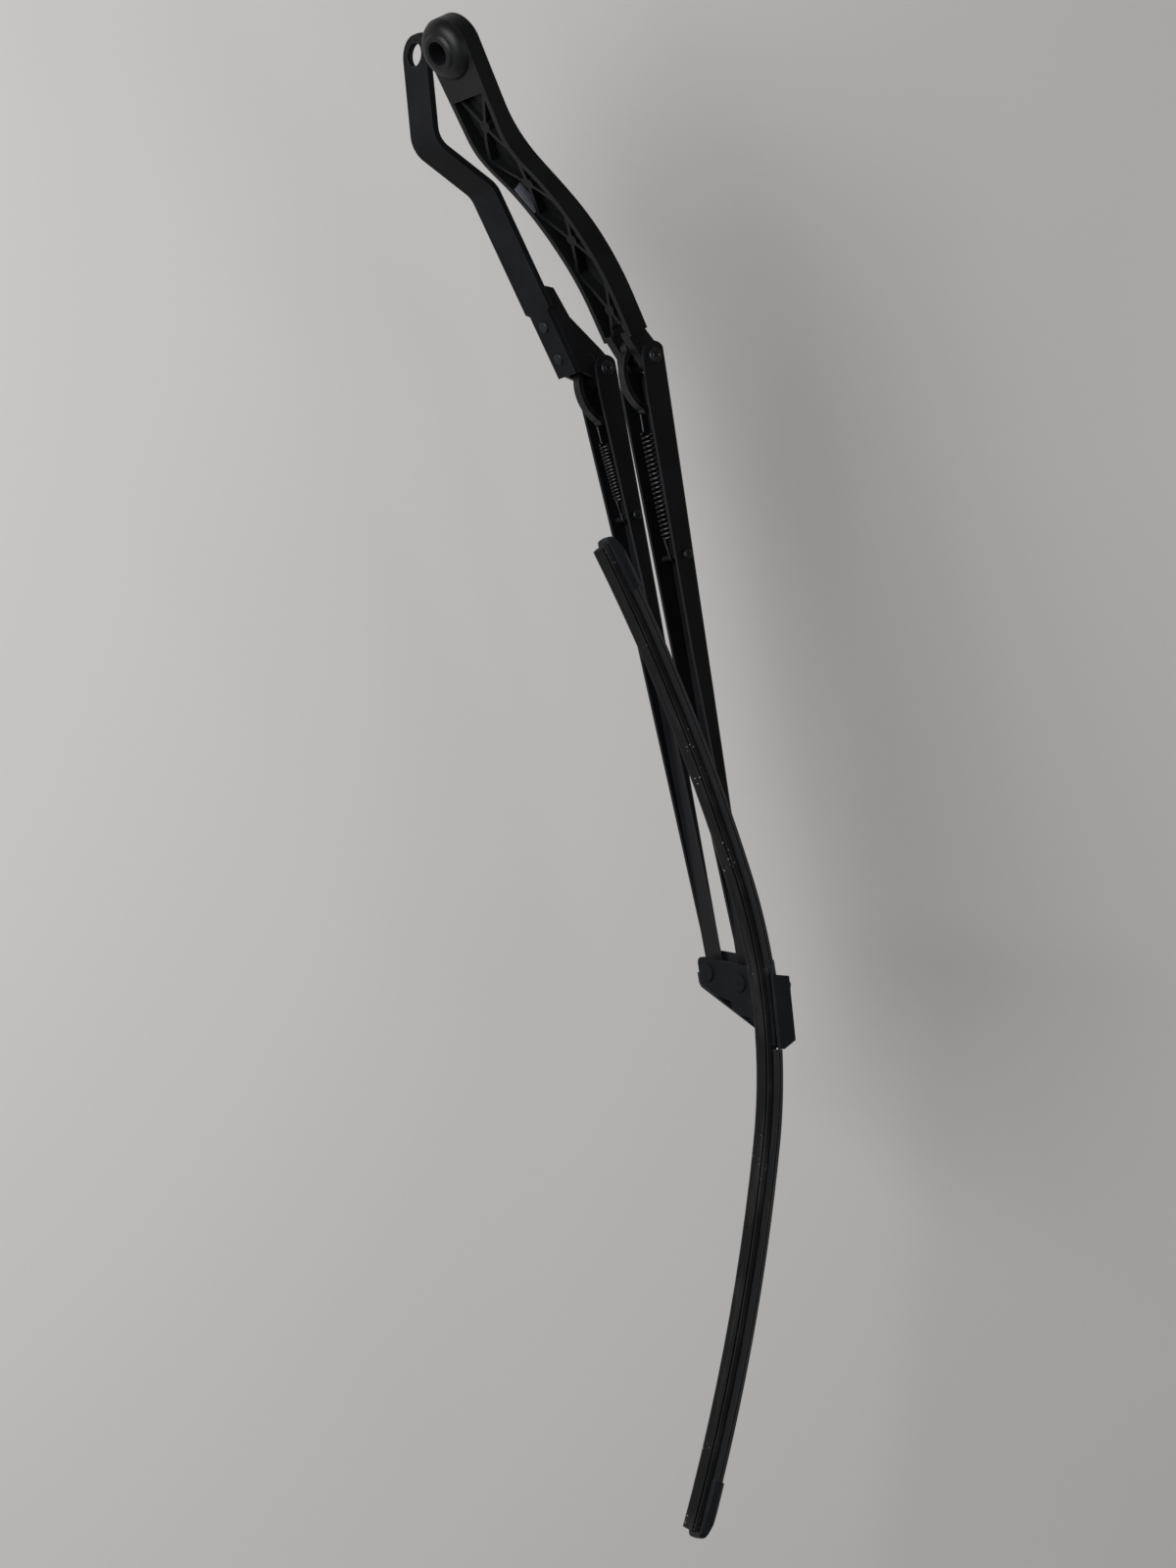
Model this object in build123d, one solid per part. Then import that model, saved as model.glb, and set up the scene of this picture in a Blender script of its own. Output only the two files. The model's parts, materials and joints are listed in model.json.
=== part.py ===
"""Twin-arm windshield wiper with a flat beam blade, lying free with both arms on their stops.

Millimetres. The origin is the mouth of the spindle bore, +Z runs along the spindle away from the
glass and +X runs along the arm to the blade. Each arm, the coupler and the blade are drawn in a
frame of their own and then placed.
"""
import os
from math import atan2, copysign, cos, degrees, hypot, radians, sin

from build123d import *

# Layout
HINGE_X = 203.0             # spindle to hinge, along X
HINGE_Z = 47.4              # bore mouth to hinge, along Z
ARM_DROP = 19.0             # degrees that the channels fall towards the glass
CONTROL_SIDE = 42.0         # main hinge to control hinge, across
PIVOT_X = 358.8             # hinge to main pivot, along the main channel
PIVOT_SIDE = 27.0           # main pivot to control pivot, across
PIVOT_BACK = 7.5            # the control pivot lies this much nearer to the hinges
PIN_X = 375.0               # hinge to side pin, along the main channel
PIN_Z = -2.0                # side pin above the hinge axis, across the main channel
BLADE_SIDE = 31.0           # main channel to the blade's middle plane, across
BLADE_DROP = 4.0            # degrees that the blade falls below the channel
RUN_GAP = 0.04              # radial clearance of pins and rivets
SLIP = 0.3                  # clearance between moving faces
SEAT = 0.02                 # clearance between fixed faces

# Pressed channels and their rivets
SHEET = 1.6
WEB_TOP = 8.0               # outer face of the web above the hinge axis
BEND = 2.2                  # outer bend radius
MAIN_WIDTH = 24.0
MAIN_EAR = 8.5
CONTROL_WIDTH = 20.0
CONTROL_EAR = 8.0
EYE_R = 7.2                 # rounded end of each channel
EYE_NECK = 24.0             # the flanges have run out this far before the pivot
WEB_START = 7.0             # the web is cut back this far from the hinge
HINGE_PIN_R = 3.0
HINGE_HEAD_R = 4.3
RIVET_HEAD = 1.6
ANCHOR_R = 1.8
ANCHOR_HEAD_R = 2.7
MAIN_ANCHOR = (114.0, 1.0)
CONTROL_ANCHOR = (86.0, 2.0)
MAIN_LOWER = ((20.0, -9.4), (170.0, -4.0))     # corners of the flanges' lower edge
CONTROL_LOWER = ((15.0, -8.2), (123.0, -1.7))

# Spring links and springs
LINK_PIN_R = 2.0
LINK_PIN_BACK = 7.0         # link pin behind the hinge axis
LINK_PIN_DROP = 8.5         # link pin below the hinge axis
LINK_END = (29.0, -4.0)     # hole that the spring hooks into
LINK_BAR = 3.0
LINK_BOW = 9.0              # how far the C bows out
LINK_THICK = 5.0
MAIN_COIL_R = 5.2
MAIN_WIRE = 1.8
MAIN_COILS = 23
CONTROL_COIL_R = 4.6
CONTROL_WIRE = 1.7
CONTROL_COILS = 17
HOOK_LONG = 13.0            # link hole to the first coil
ANCHOR_LONG = 11.0          # last coil to the anchor rivet

# Main head
BOSS_BASE_R = 17.5
BOSS_TIP_R = 9.5
BOSS_TALL = 7.3
BORE_R = 7.0
BORE_DEEP = 11.0
THREAD_R = 5.1
NUT_R = 11.0
NUT_SEAT = 14.0             # nut seat above the bore mouth
CAST_TALL = 13.4
BOSS_THIN = 3.0             # the casting is this much thinner at the boss
HEAD_END_R = 17.8
HEAD_WAIST = 28.5           # width where the S begins
HEAD_HINGE_W = 25.0
HEAD_WALL = 3.0
HEAD_RISE = 29.4            # the S lifts the casting by this much
HEAD_S = ((82.0, 0.34), (120.0, 0.79), (152.0, 0.98))  # X and share of the rise along the S
RIM_START = 50.0            # the rim is level as far as this
CROWN_START = 38.0          # and the top as far as this
WAIST_X = 70.0
TONGUE_BACK = 16.0          # the tongue begins this far before the hinge
TONGUE_R = 7.8
TONGUE_SLOT = 9.0
RIB = 2.0
RIB_KNOT_R = 3.4
RIB_LOW = 3.0               # the ribs stop this far above the rim
POCKET_START = 26.0
RIB_CORNERS = (28.0, 66.5, 105.0, 145.0, 195.0)

# Control strap and knuckle
STRAP_WIDTH = 22.0
STRAP_TALL = 4.0
STRAP_EYE_R = 11.0
STRAP_BORE_R = 7.0
STRAP_REACH = 206.0         # control hinge to the strap's bore
STRAP_BORE_DROP = 20.9      # hinge axis to the middle of the strap at its bore
STRAP_TAIL_DROP = 19.2      # hinge axis to the middle of the strap below the knuckle
STRAP_TILT = 25.0           # degrees that the eye of the strap is turned
STRAP_LOW_X = -158.5        # where the strap turns up
STRAP_TURN_X = -121.0       # where the strap levels out
STRAP_TURN_DROP = 18.8
STRAP_TAIL_X = -6.0
STRAP_STEP_X = -47.0        # the strap is narrower from here on
STRAP_TURN_R = 14.0
KNUCKLE_SHEET = 2.4
KNUCKLE_LONG = 60.0
KNUCKLE_EAR = 7.4
KNUCKLE_TOP = -9.2          # rear edge of the flanges above the hinge axis
STRAP_RIVET_R = 2.0
STRAP_RIVET_HEAD_R = 3.3
STRAP_RIVETS = (-37.0, -17.0)

# Coupler
PLATE = 2.0
PLATE_CORNER = 3.5
PLATE_EDGE = 7.5            # control pivot to the plate's side
PLATE_BACK = 10.0           # control pivot to the plate's rear edge
PLATE_FRONT = 6.2           # control pivot to the corner where the slant begins
PLATE_BLUNT = 6.0           # straight end of the plate beside the pin's ear
NOTCH_DEEP = 4.6
NOTCHES = ((0.23, 0.54), (0.65, 0.92))  # along the slanted edge
COVER_WALL = 1.6
COVER_TOP = 13.2
COVER_HOOD = 3.0            # the cover reaches this far past the plate's rear edge
COVER_ROUND = 2.0
COVER_SKIRT = 5.0
PIVOT_R = 3.0
PIVOT_HEAD_R = 5.4
BUSH_R = 4.6
BUSH_FLANGE_R = 7.0
EAR_SIDE = 17.0             # main pivot to the outer face of the pin's ear
EAR_THICK = 3.0
EAR_HALF = 8.0
PIN_R = 2.6
PIN_COLLAR_R = 5.0

# Blade
BLADE_INNER = 282.0         # side pin to the inner tip, along the rails
BLADE_OUTER = 296.0         # side pin to the outer tip
MID_ARC = 76.0              # half length of the tightly curved middle
MID_BEND = 288.0
TAIL_BEND = 1050.0
RAIL_DROP = 7.0             # rails below the side pin
RAIL_TALL = 0.9
RAIL_IN = 1.2
RAIL_OUT = 5.0
FIT = 0.1                   # clearance round the rails and the rubber's head
HEAD_HALF = 3.0             # rubber head above the rails
RUBBER_HEAD_TOP = 1.7
CLAW = 1.1
SPOILER_HALF = 6.2
RIDGE_Y = -2.0
RIDGE_Z = 7.0
RIDGE_FLAT = 1.2
SHOULDER = 2.9
WEDGE = 2.4
LIP = 0.4
LIP_Z = -10.0
RAIL_END = 3.0              # rails and rubber stop this far inside the tips
CAP_LONG = 32.0
CAP_WALL = 0.9

# Adapter, button and base
ADAPTER_BACK = 19.5
ADAPTER_FRONT = 22.5
ADAPTER_HALF = 10.0
ADAPTER_TOP = 3.9
ADAPTER_LOW = -8.6
ADAPTER_WALL = 2.2
ADAPTER_ROUND = 1.4
PIN_BOSS_R = 3.9
PIN_END = 7.0               # blade's middle plane to the blind end of the pin
BUTTON_BACK = -15.2
BUTTON_FRONT = -5.0
BUTTON_HALF = 4.6
BUTTON_RISE = 4.6
BUTTON_FOOT = 1.2
BASE_HALF_LONG = 20.0
BASE_HALF = 6.4
BASE_TOP = 2.9
CHEEK = 1.5
CHEEK_HALF = 4.7
CHEEK_START = 7.0
CHEEK_END = 18.0
BASE_RIVET_R = 1.8
BASE_RIVET = (12.5, -2.6)

# Frames
CONTROL_RUN = PIVOT_X - PIVOT_BACK
CONTROL_YAW = degrees(atan2(CONTROL_SIDE - PIVOT_SIDE, CONTROL_RUN))
CONTROL_LONG = hypot(CONTROL_SIDE - PIVOT_SIDE, CONTROL_RUN)
CHANNEL = Location((HINGE_X, 0, HINGE_Z), (0, ARM_DROP, 0))
CONTROL = CHANNEL * Location((0, CONTROL_SIDE, 0), (0, 0, -CONTROL_YAW))
STRAP = CONTROL * Location((0, 0, 0), (0, -ARM_DROP, 0))
BLADE = CHANNEL * Location((PIN_X, -BLADE_SIDE, PIN_Z), (0, BLADE_DROP, 0))
WEB_LOW = WEB_TOP - SHEET


def poly(*points):
    """A polygon through points that may be listed either way round."""
    area = sum(a[0] * b[1] - b[0] * a[1] for a, b in zip(points, points[1:] + points[:1]))
    return Polygon(*(points if area > 0 else points[::-1]), align=None)


def side_prism(sketch, width):
    """A sketch drawn in X and Z, extruded across Y about the middle plane."""
    return extrude(Plane.XZ * sketch, width / 2, both=True)


def upright(sketch, low, high):
    """A sketch drawn in X and Y, extruded from one height to another."""
    return extrude(Pos(0, 0, low) * sketch, high - low, dir=(0, 0, 1))


def rod(radius, length, x=0, z=0, y=0):
    """A round bar along Y with its middle at x, y, z."""
    return Location((x, y, z), (90, 0, 0)) * Cylinder(radius, length)


def bar(start, end, radius):
    """A round bar from one point to another."""
    run = Vector(*end) - Vector(*start)
    return Plane(start, z_dir=run) * extrude(Circle(radius), run.length)


def dome(radius, tall=RIVET_HEAD):
    """A rivet head that stands on Z = 0."""
    head = Pos(0, 0, tall / 2) * Cylinder(radius, tall)
    return fillet(head.edges().group_by(Axis.Z)[-1], tall * 0.7)


def cross_rivet(radius, head_r, grip, x=0, z=0):
    """A rivet along Y with a domed head at each end of its grip."""
    shape = rod(radius, grip) + Location((0, -grip / 2, 0), (90, 0, 0)) * dome(head_r)
    shape += Location((0, grip / 2, 0), (-90, 0, 0)) * dome(head_r)
    return Pos(x, 0, z) * shape


def write(shape, name):
    """Write one node."""
    export_step(shape, f"parts/{name}.step")


# Pressed channel of either arm


def channel(length, width, ear, lower, anchor):
    """A channel from its hinge ears at the origin to its pivot eye.

    The lower edge of the flanges runs through the given corners, from the hinge to the eye.
    """
    tail = length - EYE_NECK
    flank = poly((0, WEB_TOP), (length + EYE_R, WEB_TOP), (length + EYE_R, WEB_LOW), (tail, WEB_LOW),
                 *reversed(lower), (0, -ear)) + Circle(ear)
    half = width / 2
    plan = poly((-ear, half), (WEB_START, half), (tail, EYE_R), (length, EYE_R), (length, -EYE_R),
                (tail, -EYE_R), (WEB_START, -half), (-ear, -half))
    plan += Pos(length, 0) * Circle(EYE_R)
    body = upright(plan, -2 * ear, WEB_TOP)
    rim = body.edges().group_by(Axis.Z)[-1]
    body = fillet(rim - rim.group_by(Axis.X)[0], BEND) & side_prism(flank, 2 * width)
    half -= SHEET
    room = EYE_R - SHEET
    hollow = poly((-2 * ear, half), (WEB_START, half), (tail, room), (tail, -room),
                  (WEB_START, -half), (-2 * ear, -half))
    body -= upright(hollow, -2 * ear, WEB_LOW)
    mouth = 2 * ear + WEB_START
    body -= Pos(WEB_START - mouth / 2, 0, 0) * Box(mouth, 2 * half, 4 * ear)
    body -= rod(HINGE_PIN_R + SEAT, 2 * width)
    body -= rod(ANCHOR_R + SEAT, 2 * width, *anchor)
    return body - Pos(length, 0, WEB_TOP) * Cylinder(BUSH_R + SEAT, 4 * SHEET)


def spring_link():
    """The C-shaped link, from the link pin to the hole for the spring's hook."""
    start = Vector(-LINK_PIN_BACK, -LINK_PIN_DROP)
    end = Vector(*LINK_END)
    across = (end - start).normalized().rotate(Axis.Z, -90)
    bow = ThreePointArc(start, (start + end) / 2 + across * LINK_BOW, end)
    outline = trace(bow, LINK_BAR) + Pos(start) * Circle(LINK_PIN_R + LINK_BAR * 0.6)
    outline += Pos(end) * Circle(LINK_BAR * 0.85)
    outline -= Pos(start) * Circle(LINK_PIN_R + RUN_GAP)
    outline -= Pos(end) * Circle(LINK_BAR * 0.4)
    return side_prism(outline, LINK_THICK)


def tension_spring(coil_r, wire, coils, anchor):
    """A close-wound spring from the link to the anchor rivet, each coil one ridge of a revolved tube."""
    start = Vector(*LINK_END)
    run = Vector(*anchor) - start
    long = run.length - HOOK_LONG - ANCHOR_LONG
    pitch = long / coils
    inner = coil_r - wire
    valley = coil_r - wire * 0.35
    ridges = []
    for n in range(coils):
        ridges += [(valley, n * pitch), (coil_r, (n + 0.5) * pitch)]
    tube = revolve(Plane.XZ * poly((inner, 0), *ridges, (valley, long), (inner, long)), Axis.Z)
    shape = Pos(0, 0, HOOK_LONG) * tube
    wire_r = wire / 2
    middle = coil_r - wire_r
    eye = LINK_THICK / 2 + wire_r + SLIP
    shape += bar((0, middle, HOOK_LONG + wire), (0, eye, 0), wire_r)
    shape += bar((0, eye + wire_r / 2, 0), (0, -eye, 0), wire_r)
    loop = ANCHOR_R + wire_r + SEAT
    far = run.length
    shape += bar((middle, 0, far - ANCHOR_LONG - wire), (loop, 0, far), wire_r)
    ring = revolve(Plane.XZ * Pos(loop, 0) * Circle(wire_r), Axis((0, 0, 0), (0, 1, 0)), -180)
    shape += Pos(0, 0, far) * ring
    return Location((start.X, 0, start.Y), (0, 90 - degrees(atan2(run.Y, run.X)), 0)) * shape


# Main head


def head_edge(lift, thin, start):
    """The S-shaped line of the head from start to the tongue, lifted above its rim.

    Its first half is lowered by thin, which fades out along the S.
    """
    end = HINGE_X - TONGUE_BACK
    low = BOSS_TALL + lift
    fade = (thin / 2, 0, 0)
    curve = [(x, low - less + HEAD_RISE * share) for (x, share), less in zip(HEAD_S, fade)]
    return Spline((start, low - thin), *curve, (end, low + HEAD_RISE), tangents=((1, 0), (1, 0)))


def head_side(low, high):
    """The side view of the head between two lines above its rim."""
    back = -HEAD_END_R
    under = head_edge(low, 0, RIM_START)
    over = head_edge(high, BOSS_THIN, CROWN_START)
    foot = (back, (under @ 0).Y)
    crown = (back, (over @ 0).Y)
    return make_face([Line(foot, under @ 0), under, Line(under @ 1, over @ 1), over, Line(over @ 0, crown),
                      Line(crown, foot)])


def head_plan(inset):
    """The plan of the head, drawn in by inset."""
    end = HINGE_X - TONGUE_BACK
    r = HEAD_END_R - inset
    waist = HEAD_WAIST / 2 - inset
    tip = HEAD_HINGE_W / 2 - inset
    flanks = poly((0, r), (WAIST_X, waist), (end, tip), (end, -tip), (WAIST_X, -waist), (0, -r))
    return flanks + Circle(r)


def main_head():
    """Die-cast head: boss and bore, S-shaped body with a ribbed underside, slotted hinge tongue."""
    tall = CAST_TALL
    reach = 2 * (HINGE_X + TONGUE_R)
    body = side_prism(head_side(0, tall), 2 * HEAD_END_R) & upright(head_plan(0), 0, reach)
    pocket = side_prism(head_side(-tall, tall - HEAD_WALL), 2 * HEAD_END_R) & upright(
        head_plan(HEAD_WALL), -reach, reach)
    end = HINGE_X - TONGUE_BACK
    span = end - POCKET_START
    pocket &= Pos(POCKET_START + span / 2, 0, 0) * Box(span - 2 * HEAD_WALL, reach, reach)
    body -= pocket
    ribs = []
    for a, b in zip(RIB_CORNERS, RIB_CORNERS[1:]):
        lean = degrees(atan2(HEAD_WAIST - 2 * HEAD_WALL, b - a))
        for turn in (lean, -lean):
            ribs.append(Pos((a + b) / 2, 0) * Rot(0, 0, turn) * Rectangle(b - a + HEAD_WAIST, RIB))
        ribs.append(Pos((a + b) / 2, 0) * Circle(RIB_KNOT_R))
    rib_zone = side_prism(head_side(RIB_LOW, tall - HEAD_WALL), 2 * HEAD_END_R)
    body += upright(Sketch() + ribs, 0, reach) & rib_zone & pocket
    boss = Polyline((0, 0), (BOSS_TIP_R, 0), (BOSS_TIP_R + 1.5, 1.2))
    flare = ThreePointArc(boss @ 1, ((BOSS_TIP_R + BOSS_BASE_R) / 2 + 2.2, BOSS_TALL * 0.5),
                          (BOSS_BASE_R, BOSS_TALL))
    closing = Polyline(flare @ 1, (BOSS_BASE_R, BOSS_TALL + 1), (0, BOSS_TALL + 1), (0, 0))
    body += revolve(Plane.XZ * make_face([boss, flare, closing]), Axis.Z)
    low = BOSS_TALL + HEAD_RISE - HINGE_Z
    cheek = Circle(TONGUE_R) + poly((-TONGUE_BACK, low), (0, -TONGUE_R), (0, TONGUE_R),
                                    (-TONGUE_BACK, low + tall))
    tongue_w = MAIN_WIDTH - 2 * SHEET - 2 * SLIP
    body += Pos(HINGE_X, 0, HINGE_Z) * side_prism(cheek, tongue_w)
    slot = TONGUE_BACK + 2 * TONGUE_R
    body -= Pos(HINGE_X + TONGUE_R - slot / 2, 0, HINGE_Z) * Box(slot, TONGUE_SLOT, 6 * TONGUE_R)
    body -= rod(HINGE_PIN_R + RUN_GAP, 2 * tongue_w, HINGE_X, HINGE_Z)
    body -= CHANNEL * rod(LINK_PIN_R + SEAT, tongue_w, -LINK_PIN_BACK, -LINK_PIN_DROP)
    body -= Pos(0, 0, BORE_DEEP / 2) * Cylinder(BORE_R, BORE_DEEP)
    body -= Cylinder(THREAD_R, 4 * BORE_DEEP)
    return body - Pos(0, 0, NUT_SEAT + tall / 2) * Cylinder(NUT_R, tall)


# Control strap and knuckle


def knuckle_width():
    """Width between the control channel's flanges, less its clearance."""
    return CONTROL_WIDTH - 2 * SHEET - 2 * SLIP


def strap_bore():
    """Where the middle of the strap crosses the axis of its bore, with the bore along Z."""
    return Location((-STRAP_REACH, 0, -STRAP_BORE_DROP), (0, STRAP_TILT, 0))


def control_strap():
    """Flat bar with a turned eye, a joggle and a narrower tail under the knuckle."""
    tilt = radians(STRAP_TILT)
    fall = (STRAP_LOW_X + STRAP_REACH) * sin(tilt) / cos(tilt)
    end_x = -STRAP_REACH - STRAP_EYE_R
    line = FilletPolyline((end_x, -STRAP_BORE_DROP + STRAP_EYE_R * sin(tilt) / cos(tilt)),
                          (STRAP_LOW_X, -STRAP_BORE_DROP - fall), (STRAP_TURN_X, -STRAP_TURN_DROP),
                          (STRAP_TAIL_X, -STRAP_TAIL_DROP), radius=STRAP_TURN_R)
    body = side_prism(trace(line, STRAP_TALL), 3 * STRAP_EYE_R)
    tail_half = knuckle_width() / 2
    half = STRAP_WIDTH / 2
    plan = poly((-STRAP_REACH, half), (STRAP_STEP_X, half), (STRAP_STEP_X + 2, tail_half),
                (0, tail_half), (0, -tail_half), (STRAP_STEP_X + 2, -tail_half), (STRAP_STEP_X, -half),
                (-STRAP_REACH, -half)) + Pos(-STRAP_REACH, 0) * Circle(STRAP_EYE_R)
    body &= upright(plan, -2 * HINGE_Z, HINGE_Z)
    body -= strap_bore() * Cylinder(STRAP_BORE_R, 4 * STRAP_TALL)
    for x in STRAP_RIVETS:
        body -= Pos(x, 0, -STRAP_TAIL_DROP) * Cylinder(STRAP_RIVET_R + SEAT, 6 * STRAP_TALL)
    return body


def strap_height(x):
    """Middle of the strap below the hinge axis, on its straight tail."""
    share = (x - STRAP_TURN_X) / (STRAP_TAIL_X - STRAP_TURN_X)
    return -STRAP_TURN_DROP + (STRAP_TURN_DROP - STRAP_TAIL_DROP) * share


def control_knuckle():
    """Folded bracket on the strap: a base and two flanges that rise to the hinge."""
    back = -KNUCKLE_LONG
    seat_back = strap_height(back) + STRAP_TALL / 2 + SEAT
    seat = strap_height(STRAP_TAIL_X) + STRAP_TALL / 2 + SEAT
    ear = KNUCKLE_EAR
    flank = poly((back, seat_back), (back + 5, KNUCKLE_TOP), (back + 24, KNUCKLE_TOP + 1.7),
                 (-ear * 1.5, ear * 0.45), (0, ear), (ear * 0.8, -ear * 0.6), (STRAP_TAIL_X, seat))
    flank += Circle(ear)
    body = side_prism(flank, knuckle_width())
    room = knuckle_width() - 2 * KNUCKLE_SHEET
    lift = KNUCKLE_SHEET
    hollow = poly((back - 1, seat_back + lift), (STRAP_TAIL_X, seat + lift), (STRAP_TAIL_X, seat - 1),
                  (2 * ear, seat - 1), (2 * ear, 2 * ear), (back - 1, 2 * ear))
    body -= side_prism(hollow, room)
    body -= rod(HINGE_PIN_R + RUN_GAP, 4 * ear)
    turn = Location((0, 0, 0), (0, ARM_DROP, 0))
    body -= turn * rod(LINK_PIN_R + SEAT, 4 * ear, -LINK_PIN_BACK, -LINK_PIN_DROP)
    for x in STRAP_RIVETS:
        body -= Pos(x, 0, seat) * Cylinder(STRAP_RIVET_R + SEAT, 6 * KNUCKLE_SHEET)
    return body


def strap_rivets():
    """The two rivets through strap and knuckle."""
    grip = STRAP_TALL + KNUCKLE_SHEET + 2 * SEAT
    lean = degrees(atan2(STRAP_TAIL_DROP - STRAP_TURN_DROP, STRAP_TAIL_X - STRAP_TURN_X))
    group = []
    for x in STRAP_RIVETS:
        low = -STRAP_TALL / 2 - SEAT
        shape = Pos(0, 0, low + grip / 2) * Cylinder(STRAP_RIVET_R, grip)
        shape += Location((0, 0, low), (180, 0, 0)) * dome(STRAP_RIVET_HEAD_R, 1.2)
        shape += Pos(0, 0, low + grip) * dome(STRAP_RIVET_HEAD_R, 1.2)
        group.append(Location((x, 0, strap_height(x)), (0, lean, 0)) * shape)
    return Compound(children=group)


# Coupler, drawn with the main pivot at the origin


def plate_corners(grow=0.0, hood=0.0):
    """Corners of the coupler: rear far, slant start, slant end, near front, near rear."""
    far = PIVOT_SIDE + PLATE_EDGE + grow
    near = -EAR_SIDE - grow
    front = PIN_X - PIVOT_X + EAR_HALF + 4 + grow
    rear = -PIVOT_BACK - PLATE_BACK - hood
    return [(rear, far), (-PIVOT_BACK + PLATE_FRONT + grow * 0.5, far), (front, near + PLATE_BLUNT),
            (front, near), (rear + PLATE_BACK, near)]


def coupler_plate():
    """Steel plate with two notches in its slanted edge and a turned-down ear for the side pin."""
    corners = plate_corners()
    outline = poly(*corners)
    outline = fillet(outline.vertices().group_by(Axis.Y)[-1], PLATE_CORNER)
    start = Vector(*corners[1])
    slant = Vector(*corners[2]) - start
    for first, last in NOTCHES:
        a = start + slant * first
        b = start + slant * last
        outline -= poly((a.X, a.Y), (b.X - NOTCH_DEEP, b.Y), (b.X, b.Y))
    body = upright(outline, 0, PLATE)
    pin = PIN_X - PIVOT_X
    low = PIN_Z - EAR_HALF + 2
    ear = Pos(pin, -EAR_SIDE + EAR_THICK / 2, (PLATE + low) / 2) * Box(2 * EAR_HALF, EAR_THICK, PLATE - low)
    body += fillet(ear.edges().filter_by(Axis.Y).group_by(Axis.Z)[0], EAR_HALF * 0.6)
    body -= rod(PIN_R + SEAT, 4 * EAR_THICK, pin, PIN_Z, -EAR_SIDE)
    for x, y in ((0, 0), (-PIVOT_BACK, PIVOT_SIDE)):
        body -= Pos(x, y, 0) * Cylinder(PIVOT_R + SEAT, 4 * PLATE)
    return body


def coupler_cover():
    """Moulded hood over the arms' ends: a roof with a skirt along the slanted edge."""
    grow = COVER_WALL + SEAT
    corners = plate_corners(grow, COVER_HOOD)
    outline = poly(*corners)
    outline = fillet(outline.vertices().group_by(Axis.Y)[-1], PLATE_CORNER + grow)
    body = upright(outline, 0, COVER_TOP)
    body = fillet(body.edges().group_by(Axis.Z)[-1], COVER_ROUND)
    inside = poly(*plate_corners(SEAT, COVER_HOOD + COVER_WALL))
    inside = fillet(inside.vertices().group_by(Axis.Y)[-1], PLATE_CORNER)
    body -= upright(inside, -1, COVER_TOP - COVER_WALL)
    start = Vector(*corners[1])
    slant = (Vector(*corners[2]) - start).normalized()
    inward = slant.rotate(Axis.Z, -90)
    line = start + inward * (COVER_SKIRT + grow)
    away = 200
    open_side = poly(tuple(line - slant * away)[:2], tuple(line + slant * away)[:2],
                     tuple(line + slant * away + inward * away)[:2],
                     tuple(line - slant * away + inward * away)[:2])
    return body - upright(open_side, -1, COVER_TOP - COVER_WALL)


def pivot_rivet():
    """Shoulder rivet through plate and bush, along Z."""
    top = WEB_TOP + 3 * SLIP + SEAT
    shape = Pos(0, 0, top / 2) * Cylinder(PIVOT_R, top)
    shape += Rot(180, 0, 0) * dome(PIVOT_HEAD_R, 1.2)
    return shape + Pos(0, 0, top) * dome(PIVOT_HEAD_R)


def pivot_bush():
    """Flanged bush in an arm's eye; its flange keeps the arm off the plate."""
    low = PLATE + SLIP
    seat = WEB_LOW - SEAT
    shape = Pos(0, 0, (low + seat) / 2) * Cylinder(BUSH_FLANGE_R, seat - low)
    top = WEB_TOP + 2 * SLIP
    shape += Pos(0, 0, (low + top) / 2) * Cylinder(BUSH_R, top - low)
    return shape - Pos(0, 0, PLATE) * Cylinder(PIVOT_R + RUN_GAP, 4 * top)


def side_pin():
    """Pin riveted in the plate's ear, with a collar between ear and adapter; drawn in the blade's frame."""
    ear_out = BLADE_SIDE - EAR_SIDE
    inner = ear_out + EAR_THICK
    shape = rod(PIN_R, inner + PIN_END, 0, 0, (inner - PIN_END) / 2)
    collar = ear_out - SEAT - (ADAPTER_HALF + SLIP)
    shape += rod(PIN_COLLAR_R, collar, 0, 0, ADAPTER_HALF + SLIP + collar / 2)
    return shape + Location((0, inner, 0), (-90, 0, 0)) * dome(PIN_R * 0.7, 0.8)


# Blade


def station(s):
    """The frame of the rails at s along the blade from the side pin."""
    turn = max(-MID_ARC, min(MID_ARC, s)) / MID_BEND
    x = MID_BEND * sin(turn)
    z = -RAIL_DROP - MID_BEND * (1 - cos(turn))
    place = Location((x, 0, z), (0, degrees(turn), 0))
    beyond = s - copysign(min(abs(s), MID_ARC), s)
    turn = beyond / TAIL_BEND
    return place * Location((TAIL_BEND * sin(turn), 0, -TAIL_BEND * (1 - cos(turn))), (0, degrees(turn), 0))


def along_blade(section, start, end):
    """A section drawn across the rails, carried along the blade from start to end."""
    stops = [start] + [s for s in (-MID_ARC, MID_ARC) if start < s < end] + [end]
    shape = Part()
    for a, b in zip(stops, stops[1:]):
        bend = MID_BEND if abs(a + b) < 2 * MID_ARC else TAIL_BEND
        centre = Axis((0, 0, -bend), (0, 1, 0))
        shape += station(a) * revolve(Plane.YZ * section, centre, degrees((b - a) / bend))
    return shape


def mirrored(points):
    """A closed outline from its half on the +Y side, listed from top to bottom."""
    return poly(*points, *[(-y, z) for y, z in reversed(points)])


def grip_void():
    """The space that rails and rubber head take in whatever holds them."""
    rail_top = RAIL_TALL / 2 + FIT
    lip = RAIL_OUT - CLAW
    return mirrored([(HEAD_HALF + FIT, RUBBER_HEAD_TOP + FIT), (HEAD_HALF + FIT, rail_top),
                     (RAIL_OUT + FIT, rail_top), (RAIL_OUT + FIT, -rail_top), (lip, -rail_top),
                     (lip, LIP_Z)])


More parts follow.
